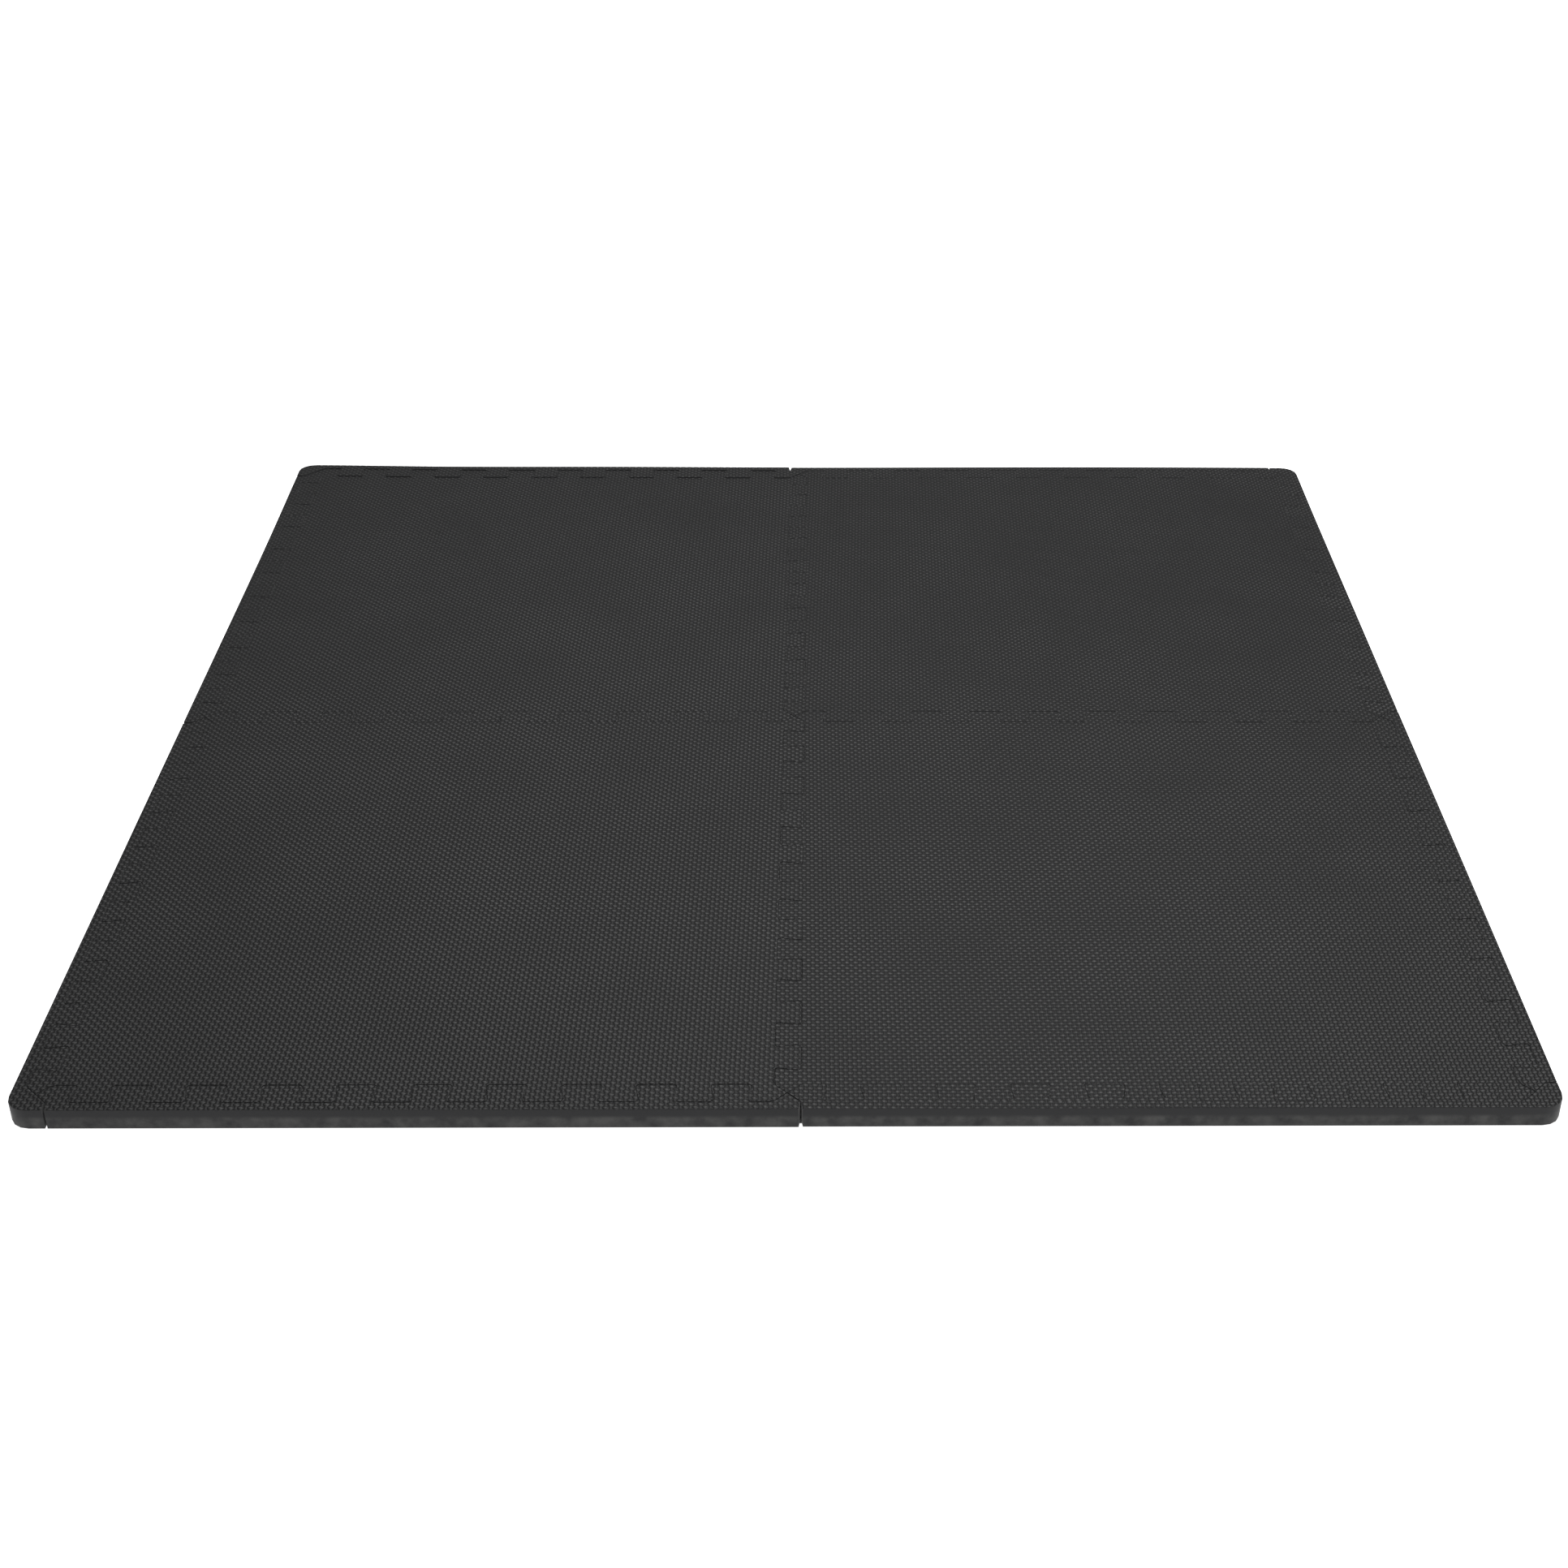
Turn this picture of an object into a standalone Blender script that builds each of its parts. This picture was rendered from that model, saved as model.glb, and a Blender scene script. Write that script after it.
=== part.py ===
"""Interlocking foam floor mat: four puzzle tiles with a border of eight strips round them.

Units are metres and +Z is up. The origin is on the floor under the middle of the mat.
+X points to the right of a person who stands at the front edge, and +Y points away from them.

Every piece is die-cut from foam sheet of one thickness. All four sides of a tile have the same
row of dovetail tabs, so the mat is one quarter repeated four times round its middle: a tile,
the border strip that wraps the tile's outer corner, and the straight border strip beside it.
"""
import math

import bmesh
import bpy
from mathutils import Vector

# Driving dimensions
TILE_PITCH = 0.6096            # from one seam line to the next, a 24 inch tile
THICKNESS = 0.0190             # foam sheet
BORDER_WIDTH = 0.0209          # from the outer seam line to the mat's straight outer edge
TABS_PER_SIDE = 10
TAB_DEPTH = 0.0220             # from the roots of the tabs to their tips
TAB_FLARE = 0.0038             # how far each flank of a tab leans out between neck and tip
TAB_RADIUS = 0.0033            # rounding of the tab corners
MAT_CORNER_RADIUS = 0.0180     # rounding of the mat's four outer corners
FIT_GAP = 0.0003               # clearance between two neighbouring pieces
TAB_ARC_STEPS = 2              # straight pieces that stand for one rounded tab corner
MAT_CORNER_STEPS = 6

FOAM_COLOUR = (0.022, 0.022, 0.023, 1.0)
FOAM_ROUGHNESS = 0.72

# Names of the three pieces in each quarter, clockwise from the back left quarter
QUARTERS = (
    ("tile_back_left", "border_back_corner", "border_back_straight"),
    ("tile_back_right", "border_right_corner", "border_right_straight"),
    ("tile_front_right", "border_front_corner", "border_front_straight"),
    ("tile_front_left", "border_left_corner", "border_left_straight"),
)


def clear_scene():
    """Remove the objects that a new file starts with."""
    for thing in list(bpy.data.objects):
        bpy.data.objects.remove(thing, do_unlink=True)


def seam_corners():
    """Corners (along, out, radius) of the seam on one tile side, without the tile's own corners.

    Seen from inside the tile the side runs clockwise: along grows from 0 at one tile corner to
    TILE_PITCH at the next, and out is positive away from the tile. The side starts with half of
    a pointed tab at its first corner and ends with a slot that the next tile's tab fills.
    """
    half = TAB_DEPTH / 2
    lean = TAB_FLARE / 2
    step = TILE_PITCH / (2 * TABS_PER_SIDE)
    corners = [(half, half, TAB_RADIUS)]
    for flank in range(1, 2 * TABS_PER_SIDE):
        along = flank * step
        if flank % 2:
            corners.append((along + lean, half, TAB_RADIUS))
            corners.append((along - lean, -half, TAB_RADIUS))
        else:
            corners.append((along + lean, -half, TAB_RADIUS))
            corners.append((along - lean, half, TAB_RADIUS))
    corners.append((TILE_PITCH - half, -half, TAB_RADIUS))
    return corners


def turn_clockwise(point, quarter_turns):
    """Turn a plan point about the origin by a number of clockwise quarter turns."""
    x, y = point
    for _ in range(quarter_turns):
        x, y = y, -x
    return x, y


def rounded(corners, arc_steps):
    """Turn a closed list of (x, y, radius) corners into points, with an arc at each radius."""
    points = []
    for index, (x, y, radius) in enumerate(corners):
        here = Vector((x, y))
        if radius == 0:
            points.append(here)
            continue
        before = Vector(corners[index - 1][:2]) - here
        after = Vector(corners[(index + 1) % len(corners)][:2]) - here
        before.normalize()
        after.normalize()
        half_angle = before.angle(after) / 2
        middle = (before + after).normalized()
        centre = here + middle * radius / math.sin(half_angle)
        first = here + before * radius / math.tan(half_angle) - centre
        last = here + after * radius / math.tan(half_angle) - centre
        sweep = first.angle_signed(last)
        for count in range(arc_steps + 1):
            turn = -sweep * count / arc_steps
            cosine, sine = math.cos(turn), math.sin(turn)
            points.append(centre + Vector((first.x * cosine - first.y * sine,
                                           first.x * sine + first.y * cosine)))
    return points


def tile_outline():
    """One tile round its own middle, clockwise: four equal sides and their pointed corners."""
    half = TILE_PITCH / 2
    corners = []
    for side in range(4):
        corners.append((*turn_clockwise((-half, half), side), 0))
        for along, out, radius in seam_corners():
            corners.append((*turn_clockwise((along - half, out + half), side), radius))
    return rounded(corners, TAB_ARC_STEPS)


def border_outline(wraps_corner):
    """A border strip along the back of the mat, in the mat's frame, anticlockwise.

    The strip that wraps a corner lies behind the left tile, and the straight strip lies behind
    the right tile. Their ends are cut along the same pointed corner as the tiles.
    """
    half = TAB_DEPTH / 2
    start = -TILE_PITCH if wraps_corner else 0.0
    seam = [(start + along, TILE_PITCH + out, radius) for along, out, radius in seam_corners()]
    inner = [(start, TILE_PITCH, 0), *seam, (start + TILE_PITCH, TILE_PITCH, 0)]
    outer_y = TILE_PITCH + BORDER_WIDTH
    end_x = start + TILE_PITCH - half
    far_end = [(end_x, TILE_PITCH + half, 0), (end_x, outer_y, 0)]
    if not wraps_corner:
        near_end = [(start - half, outer_y, 0), (start - half, TILE_PITCH + half, 0)]
        return rounded(inner + far_end + near_end, TAB_ARC_STEPS)
    outer_x = start - BORDER_WIDTH
    arc_centre = Vector((outer_x + MAT_CORNER_RADIUS, outer_y - MAT_CORNER_RADIUS))
    mat_corner = []
    for count in range(MAT_CORNER_STEPS + 1):
        angle = math.pi / 2 * (1 + count / MAT_CORNER_STEPS)
        mat_corner.append((arc_centre.x + MAT_CORNER_RADIUS * math.cos(angle),
                           arc_centre.y + MAT_CORNER_RADIUS * math.sin(angle), 0))
    near_end = [(outer_x, TILE_PITCH - half, 0), (start - half, TILE_PITCH - half, 0)]
    return rounded(inner + far_end + mat_corner + near_end, TAB_ARC_STEPS)


def foam_plate(name, outline):
    """Cut a plate of foam: the outline drawn in by half of the fit gap, then its thickness."""
    bm = bmesh.new()
    drawn = bm.faces.new([bm.verts.new((point.x, point.y, 0.0)) for point in outline])
    drawn.normal_update()
    rim = bmesh.ops.inset_region(bm, faces=[drawn], thickness=FIT_GAP / 2, use_boundary=True,
                                 use_even_offset=True)
    bmesh.ops.delete(bm, geom=rim["faces"], context="FACES")
    raised = bmesh.ops.extrude_face_region(bm, geom=list(bm.faces))
    top = [part for part in raised["geom"] if isinstance(part, bmesh.types.BMVert)]
    bmesh.ops.translate(bm, verts=top, vec=(0.0, 0.0, THICKNESS))
    caps = [face for face in bm.faces if len(face.verts) > 4]
    bmesh.ops.triangulate(bm, faces=caps, ngon_method="BEAUTY")
    bmesh.ops.recalc_face_normals(bm, faces=list(bm.faces))
    mesh = bpy.data.meshes.new(name)
    bm.to_mesh(mesh)
    bm.free()
    mesh.shade_smooth()
    mesh.set_sharp_from_angle(angle=math.radians(60))
    return mesh


def foam_material(name):
    """Black closed-cell EVA foam with a dull embossed skin."""
    material = bpy.data.materials.new(name)
    material.use_nodes = True
    shader = material.node_tree.nodes["Principled BSDF"]
    shader.inputs["Base Color"].default_value = FOAM_COLOUR
    shader.inputs["Roughness"].default_value = FOAM_ROUGHNESS
    shader.inputs["Metallic"].default_value = 0.0
    return material


def place(name, mesh, location, quarter_turns):
    """Put a named piece in the scene, turned clockwise about its own origin."""
    piece = bpy.data.objects.new(name, mesh)
    bpy.context.scene.collection.objects.link(piece)
    piece.location = location
    piece.rotation_euler.z = -math.pi / 2 * quarter_turns
    if not mesh.materials:
        mesh.materials.append(None)
    piece.material_slots[0].link = "OBJECT"
    piece.material_slots[0].material = foam_material(name + "_foam")


def main():
    """Build the three shapes once and repeat them round the mat's middle."""
    clear_scene()
    tile = foam_plate("tile_shape", tile_outline())
    corner_strip = foam_plate("border_corner_shape", border_outline(wraps_corner=True))
    straight_strip = foam_plate("border_straight_shape", border_outline(wraps_corner=False))
    for turns, (tile_name, corner_name, straight_name) in enumerate(QUARTERS):
        middle = turn_clockwise((-TILE_PITCH / 2, TILE_PITCH / 2), turns)
        place(tile_name, tile, (*middle, 0.0), turns)
        place(corner_name, corner_strip, (0.0, 0.0, 0.0), turns)
        place(straight_name, straight_strip, (0.0, 0.0, 0.0), turns)


main()
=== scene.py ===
# %% [markdown]
# # An interlocking foam floor mat
#
# The mat is four puzzle tiles of black foam with a border of eight strips. A factory makes such
# pieces in two steps: a hot roller presses a weave into the skin of a foam sheet, and a steel
# die then cuts the tiles out of it. This notebook works the same way. It draws the line of the
# die, makes a solid blank from it, makes a sheet with the weave in its upper face, and keeps
# what the two have in common. The weave then runs right out to every cut edge.

# %% Load the frame
import math

import bmesh
import bpy
import numpy as np
from mathutils import Matrix, Vector


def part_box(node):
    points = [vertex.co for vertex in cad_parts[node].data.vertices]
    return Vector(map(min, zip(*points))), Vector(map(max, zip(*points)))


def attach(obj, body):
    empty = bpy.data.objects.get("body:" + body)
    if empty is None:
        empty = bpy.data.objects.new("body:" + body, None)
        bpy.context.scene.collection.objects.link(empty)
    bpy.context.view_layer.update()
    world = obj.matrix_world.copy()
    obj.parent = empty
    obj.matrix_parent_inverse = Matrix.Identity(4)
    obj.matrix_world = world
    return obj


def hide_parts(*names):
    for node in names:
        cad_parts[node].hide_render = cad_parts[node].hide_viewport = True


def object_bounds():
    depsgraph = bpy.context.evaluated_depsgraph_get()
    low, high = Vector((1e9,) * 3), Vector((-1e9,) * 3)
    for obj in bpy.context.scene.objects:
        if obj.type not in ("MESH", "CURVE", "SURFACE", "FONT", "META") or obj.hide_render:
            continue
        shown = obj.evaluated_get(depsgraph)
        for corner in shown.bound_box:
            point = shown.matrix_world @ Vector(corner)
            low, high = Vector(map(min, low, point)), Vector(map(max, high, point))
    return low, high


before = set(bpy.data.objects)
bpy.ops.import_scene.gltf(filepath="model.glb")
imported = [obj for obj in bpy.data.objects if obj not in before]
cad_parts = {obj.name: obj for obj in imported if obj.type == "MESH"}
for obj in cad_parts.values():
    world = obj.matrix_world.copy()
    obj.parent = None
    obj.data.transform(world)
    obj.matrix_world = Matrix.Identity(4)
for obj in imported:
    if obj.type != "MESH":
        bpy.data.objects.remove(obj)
cad_low, cad_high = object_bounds()
print("mat is", [round(side * 1000, 1) for side in cad_high - cad_low], "mm")

# %% [markdown]
# ## Sizes
#
# The frame gives the places: how big the mat is, how thick the foam is and how far apart the
# seams are. The die's own sizes, such as how deep a tab is, are the maker's choice and are
# named here. All lengths are in metres.

# %% Name the sizes
TABS_PER_SIDE = 10
TAB_DEPTH = 0.0220             # from the roots of the tabs to their tips
TAB_FLARE = 0.0038             # how far each flank of a tab leans out between neck and tip
TAB_RADIUS = 0.0033            # rounding of the tab corners
MAT_CORNER_RADIUS = 0.0180     # rounding of the mat's four outer corners
FIT_GAP = 0.0003               # clearance between two neighbouring pieces

tile_low, tile_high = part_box("tile_front_left")
THICKNESS = tile_high.z - tile_low.z
TILE_PITCH = tile_high.x - tile_low.x - TAB_DEPTH + FIT_GAP
BORDER_WIDTH = cad_high.x - TILE_PITCH
print(f"tile pitch {TILE_PITCH * 1000:.1f} mm, border {BORDER_WIDTH * 1000:.1f} mm,",
      f"foam {THICKNESS * 1000:.1f} mm")

# %% [markdown]
# ## Two small helpers for materials
#
# Paint charts and colour pickers give colours as hex codes, which are stored in sRGB. Blender's
# shaders count in linear light, so one function turns one into the other. The second helper
# adds a node, sets it up and links it in one call, which keeps each material readable.

# %% Helpers for colours and nodes
def linear(hex_code):
    """The linear RGBA colour of an sRGB hex code such as "2a2a2b"."""
    channels = [int(hex_code[i:i + 2], 16) / 255 for i in (0, 2, 4)]
    light = [c / 12.92 if c <= 0.04045 else ((c + 0.055) / 1.055) ** 2.4 for c in channels]
    return (*light, 1.0)


def add_node(tree, kind, inputs=(), **settings):
    """Add a node: settings are its properties, and each input takes a value or a socket."""
    node = tree.nodes.new(kind)
    for key, setting in settings.items():
        setattr(node, key, setting)
    for key, given in dict(inputs).items():
        if isinstance(given, bpy.types.NodeSocket):
            tree.links.new(given, node.inputs[key])
        else:
            node.inputs[key].default_value = given
    return node


def new_material(name):
    """An empty node material and its tree."""
    material = bpy.data.materials.new(name)
    material.use_nodes = True
    material.node_tree.nodes.clear()
    return material, material.node_tree


print("hex 808080 is", round(linear("808080")[0], 3), "in linear light")

# %% [markdown]
# ## The relief of the weave
#
# The mesh carries the weave's crowns, and this relief gives each thread its round back. Every
# piece has a UV map that counts threads: U counts the ones that run front to back in the mat,
# the warp, and V the ones that run side to side, the weft. A cosine of each count is a row of
# thread backs, the signs of the two cosines together say which thread is on top, and the higher
# of the two surfaces is what shows. The weft arches up into short dashes, and the warp is thin
# and lies flatter. Most of the weave's depth is in this relief: a weft crown stands 0.8 mm above
# a pit here, and the mesh adds 0.22 mm between the two sets of crowns.

# %% Woven relief from counted threads
WARP_BACK, WEFT_BACK = 3.0, 2.2    # power of a thread's profile: higher is a sharper back
WARP_WAVE, WEFT_WAVE = 0.2, 1.0    # rise and fall of a thread, as a share of its thickness


def thread_set(tree, across, along, back, wave):
    """Height of one set of threads: across counts them, and along counts what they cross."""
    size = add_node(tree, "ShaderNodeMath", {0: across}, operation="ABSOLUTE")
    profile = add_node(tree, "ShaderNodeMath", {0: size.outputs[0], 1: back}, operation="POWER")
    on_top = add_node(tree, "ShaderNodeMath", {0: across}, operation="SIGN")
    rise = add_node(tree, "ShaderNodeMath", {0: on_top.outputs[0], 1: along}, operation="MULTIPLY")
    height = add_node(tree, "ShaderNodeMath", {0: rise.outputs[0], 1: wave, 2: profile.outputs[0]},
                      operation="MULTIPLY_ADD")
    return height.outputs[0]


def woven_relief(tree):
    """Height of the weave as a socket."""
    threads = add_node(tree, "ShaderNodeUVMap", uv_map="threads")
    counts = add_node(tree, "ShaderNodeSeparateXYZ", {"Vector": threads.outputs["UV"]})
    rows = []
    for axis in ("X", "Y"):
        turn = add_node(tree, "ShaderNodeMath", {0: counts.outputs[axis], 1: math.pi},
                        operation="MULTIPLY")
        row = add_node(tree, "ShaderNodeMath", {0: turn.outputs[0]}, operation="COSINE")
        rows.append(row.outputs[0])
    warp, weft = rows
    higher = add_node(tree, "ShaderNodeMath",
                      {0: thread_set(tree, weft, warp, WEFT_BACK, WEFT_WAVE),
                       1: thread_set(tree, warp, weft, WARP_BACK, -WARP_WAVE)},
                      operation="MAXIMUM")
    return higher.outputs[0]


print("thread backs: warp power", WARP_BACK, "and weft power", WEFT_BACK)

# %% [markdown]
# ## The embossed skin
#
# A hot roller melts the upper face of closed-cell EVA foam into a thin dull skin. It is close to
# black, but never one even tone. Its crowns catch small soft glints, and these glints are painted
# into the colour here: the highest crowns are painted grey, brighter in some patches than in
# others, and the pits between them keep the near-black of the foam. Fine grain breaks up the
# shine, so the crowns show small soft glints and no clear reflection. The real grain is finer
# than half a millimetre, and is drawn coarser here so that it still shows.

# %% Material: embossed EVA skin
THREAD_RELIEF = 0.0004         # a level thread's back above the pits; a weft crown is twice that
GRAINS_PER_METRE = 700.0       # grain 1.4 mm wide
GRAIN_RELIEF = 0.0001
GLINT_PATCHES_PER_METRE = 9.0         # patches 110 mm wide where the painted glints are brighter
# Where the relief rises past these heights, the crowns are painted the grey of a glint.
GLINT_PAINT_STARTS, GLINT_PAINT_FULL = 1.1, 1.8    # heights on the woven relief, in thread thicknesses


def embossed_skin():
    material, tree = new_material("eva_foam_hot_embossed_skin")
    place = add_node(tree, "ShaderNodeTexCoord").outputs["Object"]
    grain = add_node(tree, "ShaderNodeTexNoise",
                     {"Vector": place, "Scale": GRAINS_PER_METRE, "Detail": 2.0})
    weave = woven_relief(tree)
    patches = add_node(tree, "ShaderNodeTexNoise",
                       {"Vector": place, "Scale": GLINT_PATCHES_PER_METRE, "Detail": 5.0,
                        "Roughness": 0.6})
    # Patches where the painted glints on the crowns are brighter.
    brighter_glints = add_node(tree, "ShaderNodeMapRange",
                       {"Value": patches.outputs["Fac"], "From Min": 0.35, "From Max": 0.65})
    crowns = add_node(tree, "ShaderNodeMix",
                      {"A": linear("424242"), "B": linear("575757"),
                       "Factor": brighter_glints.outputs["Result"]}, data_type="RGBA")
    # Painted glints: the highest crowns are painted grey instead of the foam's near-black.
    painted_glint = add_node(tree, "ShaderNodeMapRange",
                    {"Value": weave, "From Min": GLINT_PAINT_STARTS, "From Max": GLINT_PAINT_FULL})
    tone = add_node(tree, "ShaderNodeMix",
                    {"A": linear("1a1a1b"), "B": crowns.outputs["Result"],
                     "Factor": painted_glint.outputs["Result"]}, data_type="RGBA")
    gloss = add_node(tree, "ShaderNodeMapRange",
                     {"Value": grain.outputs["Fac"], "To Min": 0.42, "To Max": 0.54})
    threads = add_node(tree, "ShaderNodeBump",
                       {"Height": weave, "Strength": 1.0, "Distance": THREAD_RELIEF})
    relief = add_node(tree, "ShaderNodeBump",
                      {"Height": grain.outputs["Fac"], "Strength": 0.3,
                       "Distance": GRAIN_RELIEF, "Normal": threads.outputs["Normal"]})
    shader = add_node(tree, "ShaderNodeBsdfPrincipled",
                      {"Base Color": tone.outputs["Result"], "Roughness": gloss.outputs["Result"],
                       "Normal": relief.outputs["Normal"], "IOR": 1.48,
                       "Specular IOR Level": 0.5})
    add_node(tree, "ShaderNodeOutputMaterial", {"Surface": shader.outputs["BSDF"]})
    return material


skin = embossed_skin()
print("made", skin.name)

# %% [markdown]
# ## The cut edge and the underside
#
# The die shears through the foam, so a cut face has no skin. It shows the foam's own fine closed
# cells, dull and dusty. Its colour is darker at the top of the face and turns paler in soft
# patches over the lower half. The underside is the plain moulded skin of the sheet, with faint
# grain only. Real cells are about 0.3 mm wide, and they are drawn coarser here so that they still
# show.

# %% Material: die-cut edge
CELLS_PER_METRE = 1100.0       # foam cells 0.9 mm wide
CELL_RELIEF = 0.0002
PALE_PATCHES_PER_METRE = 70.0  # paler patches 14 mm wide
PALE_STARTS, PALE_FULL = 0.70, 0.45    # heights on the face, as shares of the thickness


def cut_foam():
    material, tree = new_material("eva_foam_die_cut_edge")
    place = add_node(tree, "ShaderNodeTexCoord").outputs["Object"]
    height = add_node(tree, "ShaderNodeSeparateXYZ", {"Vector": place}).outputs["Z"]
    patches = add_node(tree, "ShaderNodeTexNoise",
                       {"Vector": place, "Scale": PALE_PATCHES_PER_METRE, "Detail": 6.0,
                        "Roughness": 0.6})
    cells = add_node(tree, "ShaderNodeTexVoronoi", {"Vector": place, "Scale": CELLS_PER_METRE})
    low = add_node(tree, "ShaderNodeMapRange",
                   {"Value": height, "From Min": PALE_STARTS * THICKNESS,
                    "From Max": PALE_FULL * THICKNESS, "To Min": 0.0, "To Max": 1.0},
                   interpolation_type="SMOOTHSTEP")
    pale_patches = add_node(tree, "ShaderNodeMapRange",
                        {"Value": patches.outputs["Fac"], "From Min": 0.34, "From Max": 0.66})
    paler_low = add_node(tree, "ShaderNodeMath",
                    {0: low.outputs["Result"], 1: pale_patches.outputs["Result"]},
                    operation="MULTIPLY")
    # Paler towards the bottom of the face, in soft patches, and darker at the top.
    tone = add_node(tree, "ShaderNodeMix",
                    {"A": linear("303031"), "B": linear("4e4e4d"), "Factor": paler_low.outputs[0]},
                    data_type="RGBA")
    relief = add_node(tree, "ShaderNodeBump",
                      {"Height": cells.outputs["Distance"], "Strength": 0.2,
                       "Distance": CELL_RELIEF})
    shader = add_node(tree, "ShaderNodeBsdfPrincipled",
                      {"Base Color": tone.outputs["Result"], "Normal": relief.outputs["Normal"],
                       "IOR": 1.48, "Roughness": 0.85, "Specular IOR Level": 0.2,
                       "Sheen Weight": 0.25, "Sheen Roughness": 0.5})
    add_node(tree, "ShaderNodeOutputMaterial", {"Surface": shader.outputs["BSDF"]})
    return material


edge = cut_foam()
print("made", edge.name)

# %% Material: plain underside
CLOUDS_PER_METRE = 8.0         # soft clouds 125 mm wide


def plain_skin():
    material, tree = new_material("eva_foam_plain_underside")
    place = add_node(tree, "ShaderNodeTexCoord").outputs["Object"]
    grain = add_node(tree, "ShaderNodeTexNoise",
                     {"Vector": place, "Scale": GRAINS_PER_METRE, "Detail": 4.0})
    clouds = add_node(tree, "ShaderNodeTexNoise",
                      {"Vector": place, "Scale": CLOUDS_PER_METRE, "Detail": 4.0})
    tone = add_node(tree, "ShaderNodeMix",
                    {"A": linear("2c2c2d"), "B": linear("373738"),
                     "Factor": clouds.outputs["Fac"]}, data_type="RGBA")
    relief = add_node(tree, "ShaderNodeBump",
                      {"Height": grain.outputs["Fac"], "Strength": 0.4,
                       "Distance": 2 * GRAIN_RELIEF})
    shader = add_node(tree, "ShaderNodeBsdfPrincipled",
                      {"Base Color": tone.outputs["Result"], "Normal": relief.outputs["Normal"],
                       "IOR": 1.48, "Roughness": 0.62, "Specular IOR Level": 0.3})
    add_node(tree, "ShaderNodeOutputMaterial", {"Surface": shader.outputs["BSDF"]})
    return material


underside = plain_skin()
FINISHES = (skin, edge, underside)     # each piece has these as its material slots 0, 1 and 2
EDGE, UNDERSIDE = 1, 2
print("made", underside.name)

# %% [markdown]
# ## The line of the die
#
# All four sides of a tile carry the same row of dovetail tabs, and going clockwise each side
# starts with a tab and ends with a slot. One side's corners, turned by quarter turns, therefore
# give the whole tile, and the same side gives the wavy edge of every border strip. Only sharp
# corners are listed here; they are rounded later, with a bevel on the blank's corners.

# %% Outlines
HALF = TAB_DEPTH / 2
END_GAP = 0.0030               # two strips that meet end to end open this much at the outside
END_DEPTH = 0.0090             # how far in that opening reaches


def seam_corners():
    """Corners (along, out, radius) of the seam on one tile side, seen from inside the tile."""
    lean = TAB_FLARE / 2
    step = TILE_PITCH / (2 * TABS_PER_SIDE)
    corners = [(HALF, HALF, TAB_RADIUS)]
    for flank in range(1, 2 * TABS_PER_SIDE):
        along = flank * step
        side = 1 if flank % 2 else -1
        corners.append((along + lean, side * HALF, TAB_RADIUS))
        corners.append((along - lean, -side * HALF, TAB_RADIUS))
    corners.append((TILE_PITCH - HALF, -HALF, TAB_RADIUS))
    return corners


def turned(corners, quarters):
    """The corners after clockwise quarter turns about the middle of the mat."""
    for _ in range(quarters % 4):
        corners = [(y, -x, radius) for x, y, radius in corners]
    return corners


def tile_outline():
    """Corners of the back left tile, clockwise."""
    middle = TILE_PITCH / 2
    corners = []
    for side in range(4):
        one = [(-middle, middle, 0.0)]
        one += [(along - middle, out + middle, radius) for along, out, radius in seam_corners()]
        corners += turned(one, side)
    return [(x - middle, y + middle, radius) for x, y, radius in corners]


def strip_outline(wraps_corner):
    """Corners of a border strip behind the mat, from its inner edge round to its outer one."""
    start = -TILE_PITCH if wraps_corner else 0.0
    outside = TILE_PITCH + BORDER_WIDTH
    inner = [(start, TILE_PITCH, 0.0)]
    inner += [(start + along, TILE_PITCH + out, radius) for along, out, radius in seam_corners()]
    inner += [(start + TILE_PITCH, TILE_PITCH, 0.0)]
    far_end = [(start + TILE_PITCH - HALF, TILE_PITCH + HALF, 0.0),
               (start + TILE_PITCH - HALF, outside - END_DEPTH, 0.0),
               (start + TILE_PITCH - HALF - END_GAP / 2, outside, 0.0)]
    if wraps_corner:
        near_end = [(-outside, outside, MAT_CORNER_RADIUS), (-outside, TILE_PITCH - HALF, 0.0),
                    (start - HALF, TILE_PITCH - HALF, 0.0)]
    else:
        near_end = [(start - HALF + END_GAP / 2, outside, 0.0),
                    (start - HALF, outside - END_DEPTH, 0.0),
                    (start - HALF, TILE_PITCH + HALF, 0.0)]
    return inner + far_end + near_end


print("corners: tile", len(tile_outline()), "corner strip", len(strip_outline(True)),
      "straight strip", len(strip_outline(False)))

# %% [markdown]
# ## The blank
#
# A blank is what the die would cut from a plain sheet. One flat face is drawn from the sharp
# corners, its corners are bevelled into arcs, it is inset by half the seam gap, and it is
# extruded to the thickness of the foam. A fine bevel on the rim stands for the edge that the die
# presses down as it cuts.

# %% Cut a blank
RIM = 0.0005                   # how far the die presses the upper rim down
PROUD = 0.00002                # the blank's lid stands this far above the crowns of the weave
SEAM_GAP = 0.0004              # the dark line that shows between two pieces
RUN_BETWEEN_CUTS = 0.030       # longest straight run of an edge, so that it can follow a curve
CORNER_STEPS = 4               # short straights in each rounded corner
RIM_STEPS = 3
SAME = 1e-6                    # two lengths closer than this are the same
TAB_TURN = math.radians(90) + math.atan2(TAB_FLARE, TAB_DEPTH)


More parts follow.
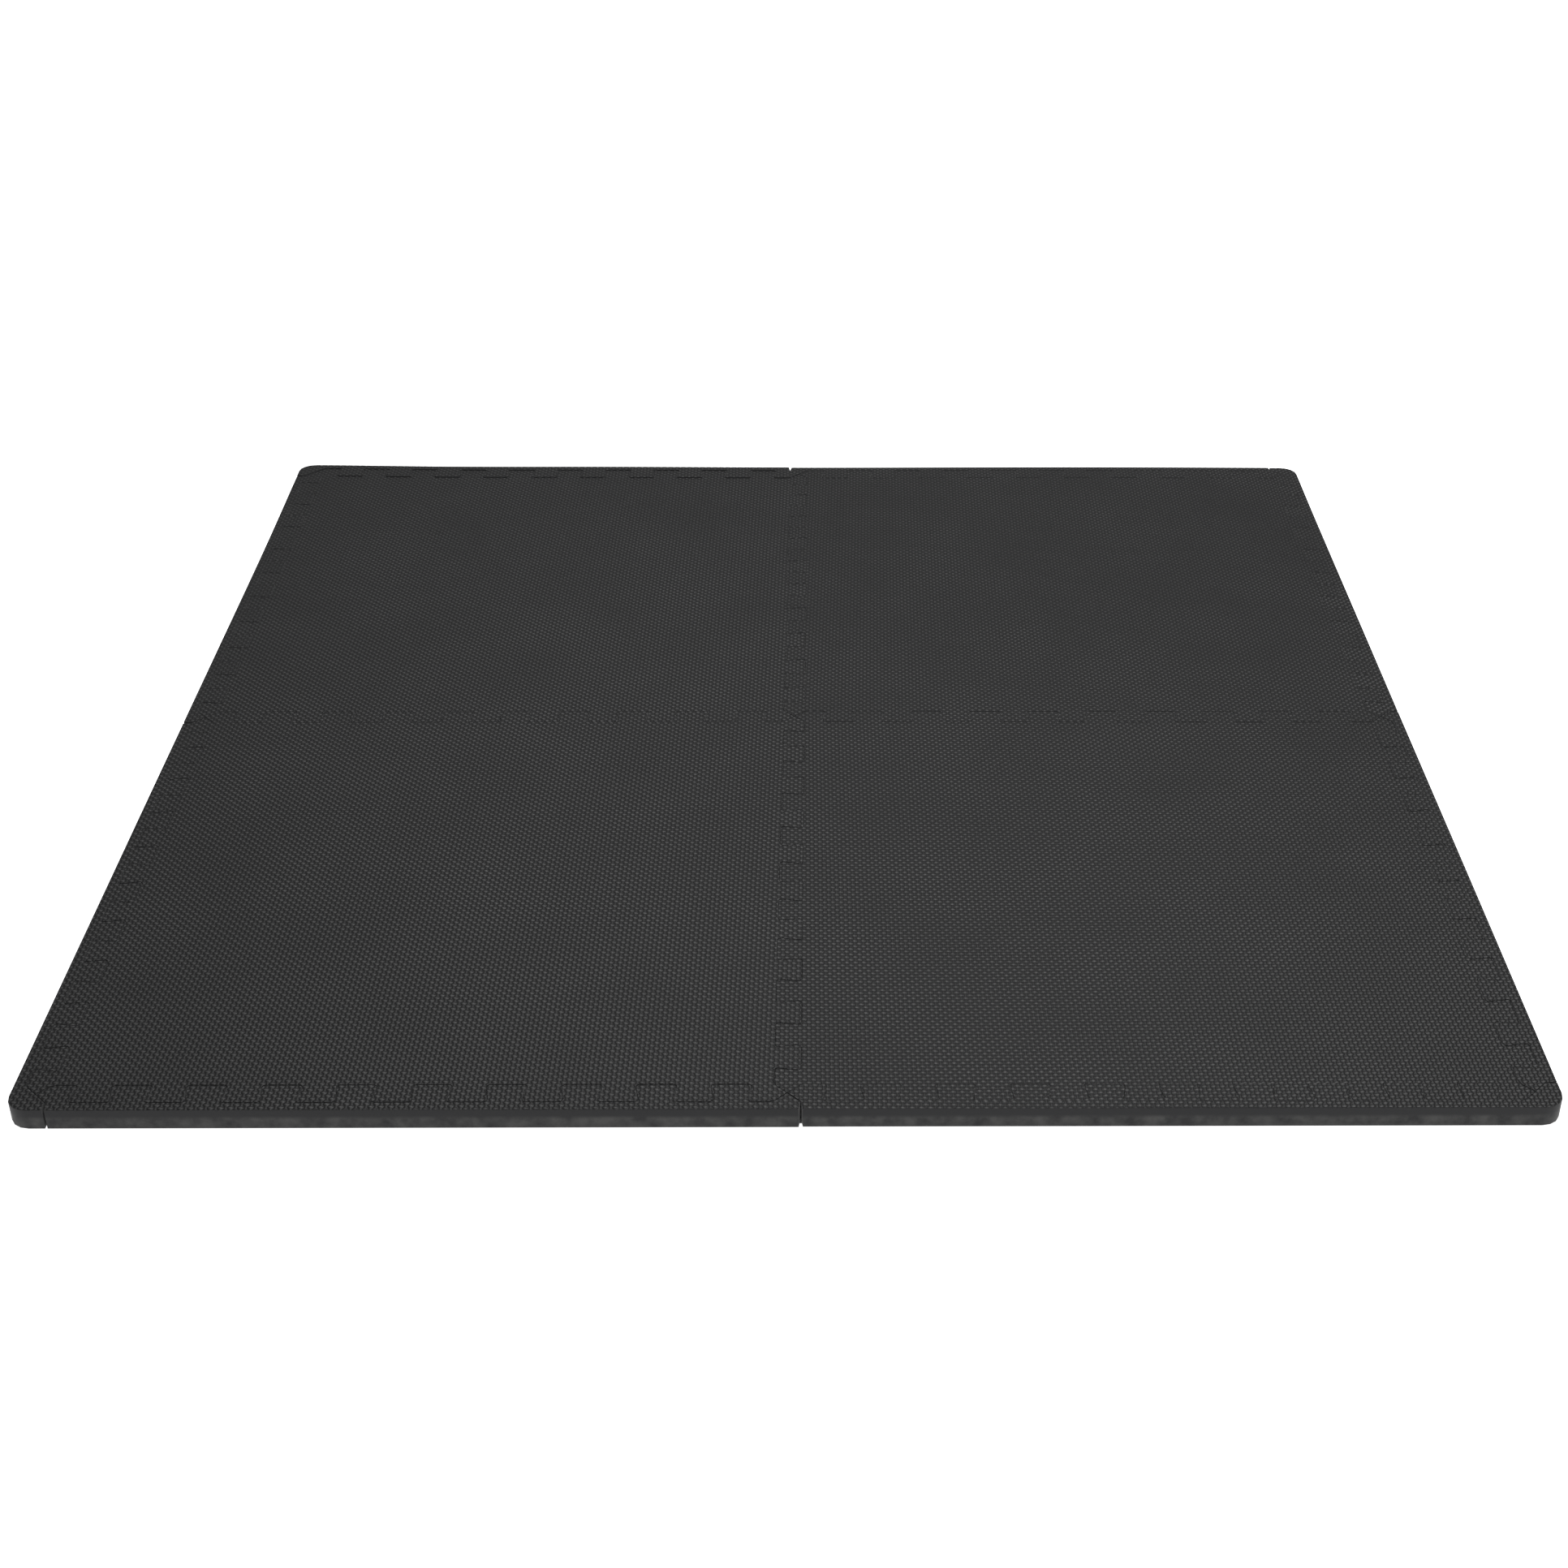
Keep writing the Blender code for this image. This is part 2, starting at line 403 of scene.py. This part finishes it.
def cut_blank(corners):
    """A bmesh of the solid that the die cuts out of plain sheet."""
    bm = bmesh.new()
    drawn = bm.faces.new([bm.verts.new((x, y, 0.0)) for x, y, _ in reversed(corners)])
    radius_layer = bm.verts.layers.float.new("radius")
    for vert, (_, _, radius) in zip(bm.verts, corners[::-1]):
        vert[radius_layer] = radius
    for radius, turn in ((TAB_RADIUS, TAB_TURN), (MAT_CORNER_RADIUS, math.radians(90))):
        picked = [v for v in bm.verts if abs(v[radius_layer] - radius) < SAME]
        if picked:
            bmesh.ops.bevel(bm, geom=picked, affect="VERTICES", offset=radius * math.tan(turn / 2),
                            offset_type="OFFSET", segments=CORNER_STEPS, profile=0.5, material=-1)
            for vert in bm.verts:
                if abs(vert[radius_layer] - radius) < SAME:
                    vert[radius_layer] = 0.0
    long_edges = [e for e in bm.edges if e.calc_length() > 2 * RUN_BETWEEN_CUTS]
    if long_edges:
        cuts = round(long_edges[0].calc_length() / RUN_BETWEEN_CUTS)
        bmesh.ops.subdivide_edges(bm, edges=long_edges, cuts=cuts)
    bm.faces.ensure_lookup_table()
    drawn = bm.faces[0]
    drawn.normal_update()
    if drawn.normal.z < 0:
        drawn.normal_flip()
    trimmed = bmesh.ops.inset_region(bm, faces=[drawn], thickness=SEAM_GAP / 2,
                                     use_boundary=True, use_even_offset=True)
    bmesh.ops.delete(bm, geom=trimmed["faces"], context="FACES")
    bm.faces.ensure_lookup_table()
    lid = bm.faces[0]
    lid.material_index = UNDERSIDE
    raised = bmesh.ops.extrude_face_region(bm, geom=[lid], use_keep_orig=True)
    top = [v for v in raised["geom"] if isinstance(v, bmesh.types.BMVert)]
    bmesh.ops.translate(bm, verts=top, vec=(0, 0, THICKNESS + PROUD))
    for face in bm.faces:
        if abs(face.normal.z) < 0.5:
            face.material_index = EDGE
    bmesh.ops.recalc_face_normals(bm, faces=bm.faces)
    rim = [e for e in bm.edges if min(v.co.z for v in e.verts) > THICKNESS / 2]
    bmesh.ops.bevel(bm, geom=rim, affect="EDGES", offset=RIM, offset_type="OFFSET",
                    segments=RIM_STEPS, profile=0.5, material=-1)
    return bm


print(f"tab corners turn by {math.degrees(TAB_TURN):.1f} degrees")

# %% [markdown]
# ## The embossed sheet
#
# The emboss is a plain weave: threads that run side to side and threads that run front to back,
# each going over one and under the next. The crowns of one set stand a little higher, so the
# surface is a brickwork of short raised dashes. The sheet is a grid with four points
# for every crossing. The four points of a crossing are drawn together into the long and narrow
# crown of whichever thread is on top there, and the grid between them makes the slopes.

# %% Emboss a sheet
WEFT_PITCH = 0.00376           # from one thread that runs along local X to the next
WARP_PITCH = 0.00402           # from one thread that runs along local Y to the next
WEFT_CROWN = (0.34, 0.19)      # half length and half width of a weft crown, in thread pitches
WARP_CROWN = (0.14, 0.34)      # half width and half length of a warp crown, in thread pitches
WARP_DROP = 0.00022            # how much lower the warp crowns lie
SHEET_UNDERHANG = 0.005        # the sheet reaches below the blank, so that only its top cuts
SHEET_MARGIN = 0.020           # and it is this much wider than the blank


def emboss_sheet(centre, reach, angle):
    """A sheet object whose top is the weave, turned by angle about centre."""
    columns = int(reach[0] / (WARP_PITCH / 2)) | 1
    rows = int(reach[1] / (WEFT_PITCH / 2)) | 1
    bm = bmesh.new()
    bmesh.ops.create_grid(bm, x_segments=columns, y_segments=rows, size=0.5)
    bmesh.ops.scale(bm, verts=bm.verts, vec=(columns * WARP_PITCH / 2, rows * WEFT_PITCH / 2, 1))
    open_edges = [e for e in bm.edges if e.is_boundary]
    skirt = bmesh.ops.extrude_edge_only(bm, edges=open_edges)
    hem = [v for v in skirt["geom"] if isinstance(v, bmesh.types.BMVert)]
    bmesh.ops.translate(bm, verts=hem, vec=(0, 0, -THICKNESS - SHEET_UNDERHANG))
    bmesh.ops.holes_fill(bm, edges=[e for e in bm.edges if e.is_boundary])
    bmesh.ops.recalc_face_normals(bm, faces=bm.faces)
    for face in bm.faces:
        face.smooth = True
    mesh = bpy.data.meshes.new("sheet")
    bm.to_mesh(mesh)
    bm.free()
    points = np.empty(len(mesh.vertices) * 3, np.float32)
    mesh.vertices.foreach_get("co", points)
    points = points.reshape(-1, 3)
    top = points[:, 2] > -SHEET_UNDERHANG
    threads = points[top, :2] / (WARP_PITCH, WEFT_PITCH)
    crossing = np.floor(threads + 0.5)
    weft_up = (crossing.sum(axis=1) % 2 == 0)[:, None]
    crown = np.where(weft_up, WEFT_CROWN, WARP_CROWN)
    spread = crossing + np.sign(threads - crossing) * crown
    points[top, :2] = spread * (WARP_PITCH, WEFT_PITCH)
    points[top, 2] = THICKNESS - np.where(weft_up[:, 0], 0.0, WARP_DROP)
    mesh.vertices.foreach_set("co", points.ravel())
    mesh.materials.append(skin)
    sheet = bpy.data.objects.new("sheet", mesh)
    bpy.context.scene.collection.objects.link(sheet)
    sheet.matrix_world = Matrix.Translation((*centre, 0)) @ Matrix.Rotation(angle, 4, "Z")
    return sheet


print("threads across a tile:", round(TILE_PITCH / WARP_PITCH), "by",
      round(TILE_PITCH / WEFT_PITCH))

# %% [markdown]
# ## How the foam lies
#
# Foam tiles never lie dead flat. They come out of a box slightly curled, and each seam holds its
# neighbours a little up or down. One gentle function says how far the foam stands off the floor
# at each place. It is used for every piece, so that neighbours rise together.

# %% The lie of the foam
RISES = (                      # middle (share of half the mat's side), radii and height, metres
    (-1.00, 1.00, 0.16, 0.16, 0.0040),
    (-0.45, 1.00, 0.26, 0.11, 0.0022),
    (0.55, 1.00, 0.34, 0.09, 0.0022),
    (-0.05, -0.30, 0.20, 0.24, 0.0012),
    (0.55, -0.45, 0.30, 0.20, 0.0010),
    (0.02, 0.35, 0.16, 0.22, 0.0010),
    (-0.60, -0.20, 0.22, 0.16, 0.0008),
    (0.50, 0.25, 0.22, 0.14, 0.0008),
)
half_side = cad_high.x


def stand_off(x, y):
    """Height of the foam's underside above the floor."""
    height = np.zeros_like(x)
    for across, back, reach_x, reach_y, rise in RISES:
        distance = np.hypot((x - across * half_side) / reach_x, (y - back * half_side) / reach_y)
        height += rise * np.exp(-distance ** 2)
    return height


corner = np.array([half_side])
print(f"back left corner stands {stand_off(-corner, corner)[0] * 1000:.1f} mm off the floor")

# %% [markdown]
# ## Die-cutting the pieces
#
# Each piece is the part of a blank that lies inside an embossed sheet, which is a Boolean
# modifier set to Intersect. A tile can be laid in any of four quarter turns, and the weave shows
# which: its threads are closer together one way than the other. The die is never quite square to
# the weave either, so each piece has a small angle of its own.
#
# After the cut, every corner of the mesh gets its thread counts. On a sheet that is turned by a
# quarter the two sets of threads swap places, so its counts are swapped too. They are also moved
# on by one thread, so that the thread that is on top in the mesh is on top in the relief. The two
# differ in one thing: the mesh raises the crowns that run front to back on a turned sheet, and
# the relief makes the ones that run side to side bold on every sheet, with its bump and with the
# glints painted on their crowns, as they look on the mat.

# %% Count the threads of a piece
def count_threads(mesh, points, centre, angle, quarter_turn):
    """Give the mesh a UV map that counts the threads of the mat, from the middle of its sheet."""
    square = np.array([[math.cos(angle), -math.sin(angle)], [math.sin(angle), math.cos(angle)]])
    counts = (points[:, :2] - centre) @ square / (WARP_PITCH, WEFT_PITCH)
    if quarter_turn:
        counts = counts[:, ::-1] + (1, 0)
    corner_points = np.empty(len(mesh.loops), np.int32)
    mesh.loops.foreach_get("vertex_index", corner_points)
    threads = mesh.uv_layers.new(name="threads")
    threads.data.foreach_set("uv", counts[corner_points].astype(np.float32).ravel())


print("pieces are counted in threads of", WARP_PITCH * 1000, "and", WEFT_PITCH * 1000, "mm")

# %% Cut, lay and finish a piece
SMOOTH_BELOW = math.radians(38)


def die_cut(name, corners, quarter_turn, off_square, lift):
    """One finished foam piece, in its place in the mat."""
    bm = cut_blank(corners)
    mesh = bpy.data.meshes.new(name)
    bm.to_mesh(mesh)
    bm.free()
    for finish in FINISHES:
        mesh.materials.append(finish)
    piece = bpy.data.objects.new(name, mesh)
    bpy.context.scene.collection.objects.link(piece)
    xs = [x for x, _, _ in corners]
    ys = [y for _, y, _ in corners]
    centre = ((min(xs) + max(xs)) / 2, (min(ys) + max(ys)) / 2)
    reach = [max(xs) - min(xs) + SHEET_MARGIN, max(ys) - min(ys) + SHEET_MARGIN]
    if quarter_turn:
        reach.reverse()
    angle = math.radians(off_square + 90 * quarter_turn)
    sheet = emboss_sheet(centre, reach, angle)
    cutter = piece.modifiers.new("weave", "BOOLEAN")
    cutter.operation = "INTERSECT"
    cutter.object = sheet
    graph = bpy.context.evaluated_depsgraph_get()
    cut = bpy.data.meshes.new_from_object(piece.evaluated_get(graph))
    piece.modifiers.clear()
    piece.data = cut
    bpy.data.meshes.remove(mesh)
    weave_mesh = sheet.data
    bpy.data.objects.remove(sheet)
    bpy.data.meshes.remove(weave_mesh)
    cut.name = name
    points = np.empty(len(cut.vertices) * 3, np.float32)
    cut.vertices.foreach_get("co", points)
    points = points.reshape(-1, 3)
    count_threads(cut, points, centre, angle, quarter_turn)
    points[:, 2] += stand_off(points[:, 0], points[:, 1]) + lift
    cut.vertices.foreach_set("co", points.ravel())
    cut.shade_smooth()
    cut.set_sharp_from_angle(angle=SMOOTH_BELOW)
    cut.update()
    triangles = sum(len(face.vertices) - 2 for face in cut.polygons)
    print(name, "has", triangles, "triangles")
    return piece


# %% [markdown]
# ## The twelve pieces
#
# One quarter of the mat is a tile, the strip that wraps its outer corner and the straight strip
# beside it. The other quarters are the same outlines, turned. A piece rarely sits level with the
# next, so each has a lift of its own, well under a millimetre.

# %% Lay the mat
QUARTERS = (                   # clockwise from the back left: node, body, quarter turn of the
                               # sheet, degrees off square, lift in metres
    (("tile_back_left", "back_left_tile", 0, -0.6, 0.0),
     ("border_back_corner", "back_corner_strip", 0, 0.5, 0.0008),
     ("border_back_straight", "back_straight_strip", 1, -0.4, 0.0003)),
    (("tile_back_right", "back_right_tile", 1, -1.2, 0.0001),
     ("border_right_corner", "right_corner_strip", 0, 0.7, 0.0),
     ("border_right_straight", "right_straight_strip", 1, 0.3, 0.0002)),
    (("tile_front_right", "front_right_tile", 1, 0.4, 0.0),
     ("border_front_corner", "front_corner_strip", 1, -0.5, 0.0004),
     ("border_front_straight", "front_straight_strip", 0, 0.6, 0.0)),
    (("tile_front_left", "front_left_tile", 0, -0.6, 0.0001),
     ("border_left_corner", "left_corner_strip", 0, 0.4, 0.0),
     ("border_left_straight", "left_straight_strip", 1, -0.7, 0.0002)),
)
for quarters, pieces in enumerate(QUARTERS):
    outlines = (tile_outline(), strip_outline(True), strip_outline(False))
    for outline, (node, body, quarter_turn, off_square, lift) in zip(outlines, pieces):
        piece = die_cut("foam_" + node, turned(outline, quarters), quarter_turn, off_square, lift)
        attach(piece, body)
        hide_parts(node)

# %% [markdown]
# ## The floor
#
# The mat lies on a white sweep that is lit from within, so there is no shadow round the mat. The
# mat covers the light under it, which keeps the gaps between the pieces dark. The larger of the
# distances across and back tells whether a place on the floor is under the mat.

# %% The floor
FLOOR_SIZE = 30.0
FLOOR_DROP = 0.0005            # the floor lies just under the mat's underside
UNLIT_MARGIN = 0.0056          # the lit floor starts this far inside the mat's edge


def white_sweep():
    material, tree = new_material("white_sweep")
    place = add_node(tree, "ShaderNodeTexCoord").outputs["Object"]
    axes = add_node(tree, "ShaderNodeSeparateXYZ", {"Vector": place})
    across = add_node(tree, "ShaderNodeMath", {0: axes.outputs["X"]}, operation="ABSOLUTE")
    back = add_node(tree, "ShaderNodeMath", {0: axes.outputs["Y"]}, operation="ABSOLUTE")
    reach = add_node(tree, "ShaderNodeMath", {0: across.outputs[0], 1: back.outputs[0]},
                     operation="MAXIMUM")
    lit = add_node(tree, "ShaderNodeMath", {0: reach.outputs[0], 1: half_side - UNLIT_MARGIN},
                   operation="GREATER_THAN")
    shader = add_node(tree, "ShaderNodeBsdfPrincipled",
                      {"Base Color": linear("ffffff"), "Roughness": 1.0,
                       "Emission Color": linear("ffffff"), "Emission Strength": lit.outputs[0]})
    add_node(tree, "ShaderNodeOutputMaterial", {"Surface": shader.outputs["BSDF"]})
    return material


bm = bmesh.new()
bmesh.ops.create_grid(bm, x_segments=1, y_segments=1, size=FLOOR_SIZE / 2)
floor_mesh = bpy.data.meshes.new("floor")
bm.to_mesh(floor_mesh)
bm.free()
floor_mesh.materials.append(white_sweep())
floor = bpy.data.objects.new("floor", floor_mesh)
floor.location.z = cad_low.z - FLOOR_DROP
bpy.context.scene.collection.objects.link(floor)
print("floor is", FLOOR_SIZE, "m wide")

# %% [markdown]
# ## The light
#
# A large soft box hangs overhead. Two weak ones behind the mat rake across the weave and pick out
# its crowns, and a faint white sky fills in the rest.

# %% The light
SKY_STRENGTH = 0.20
LAMPS = (                      # name, width and depth in metres, watts, place, aim
    ("overhead_soft_box", 1.6, 1.0, 33, (0.4, 0.50, 2.2), (0.4, 0.25, 0.0)),
    ("back_soft_box", 1.8, 0.6, 1.6, (0.3, 3.0, 1.6), (0.0, 0.0, 0.0)),
    ("left_kicker", 0.8, 0.6, 0.4, (-1.3, 2.2, 1.2), (-0.5, 0.5, 0.0)),
)
world = bpy.data.worlds.new("studio")
world.use_nodes = True
world.node_tree.nodes["Background"].inputs["Color"].default_value = linear("ffffff")
world.node_tree.nodes["Background"].inputs["Strength"].default_value = SKY_STRENGTH
bpy.context.scene.world = world
for name, width, depth, watts, place, aim in LAMPS:
    soft_box = bpy.data.lights.new(name, "AREA")
    soft_box.shape = "RECTANGLE"
    soft_box.size = width
    soft_box.size_y = depth
    soft_box.energy = watts
    lamp = bpy.data.objects.new(name, soft_box)
    lamp.location = place
    lamp.rotation_euler = (Vector(aim) - Vector(place)).to_track_quat("-Z", "Y").to_euler()
    bpy.context.scene.collection.objects.link(lamp)
    print(name, "gives", watts, "W")

# %% [markdown]
# ## The camera
#
# The camera stands two metres in front of the middle of the mat, a little above waist height, and
# looks down on it. Its lens is slightly long, and a small sideways shift frames the mat without
# turning it.

# %% The camera
LENS = 52.80                   # focal length in mm, for a sensor 36 mm wide
SENSOR_WIDTH = 36.0
SIDEWAYS_SHIFT = -0.0339       # of the frame's width
EYE = Vector((0.0274, -2.0678, 1.2143))
LOOK_DOWN = math.radians(31.70)
PAN = math.radians(-0.483)
ROLL = math.radians(0.202)
camera_data = bpy.data.cameras.new("camera")
camera_data.sensor_width = SENSOR_WIDTH
camera_data.lens = LENS
camera_data.shift_x = SIDEWAYS_SHIFT
camera = bpy.data.objects.new("camera", camera_data)
camera.matrix_world = (Matrix.Translation(EYE) @ Matrix.Rotation(PAN, 4, "Z")
                       @ Matrix.Rotation(math.pi / 2 - LOOK_DOWN, 4, "X")
                       @ Matrix.Rotation(ROLL, 4, "Z"))
bpy.context.scene.collection.objects.link(camera)
bpy.context.scene.camera = camera
bpy.context.scene.view_settings.view_transform = "Standard"
print(f"camera stands {EYE.length:.2f} m from the middle of the mat")
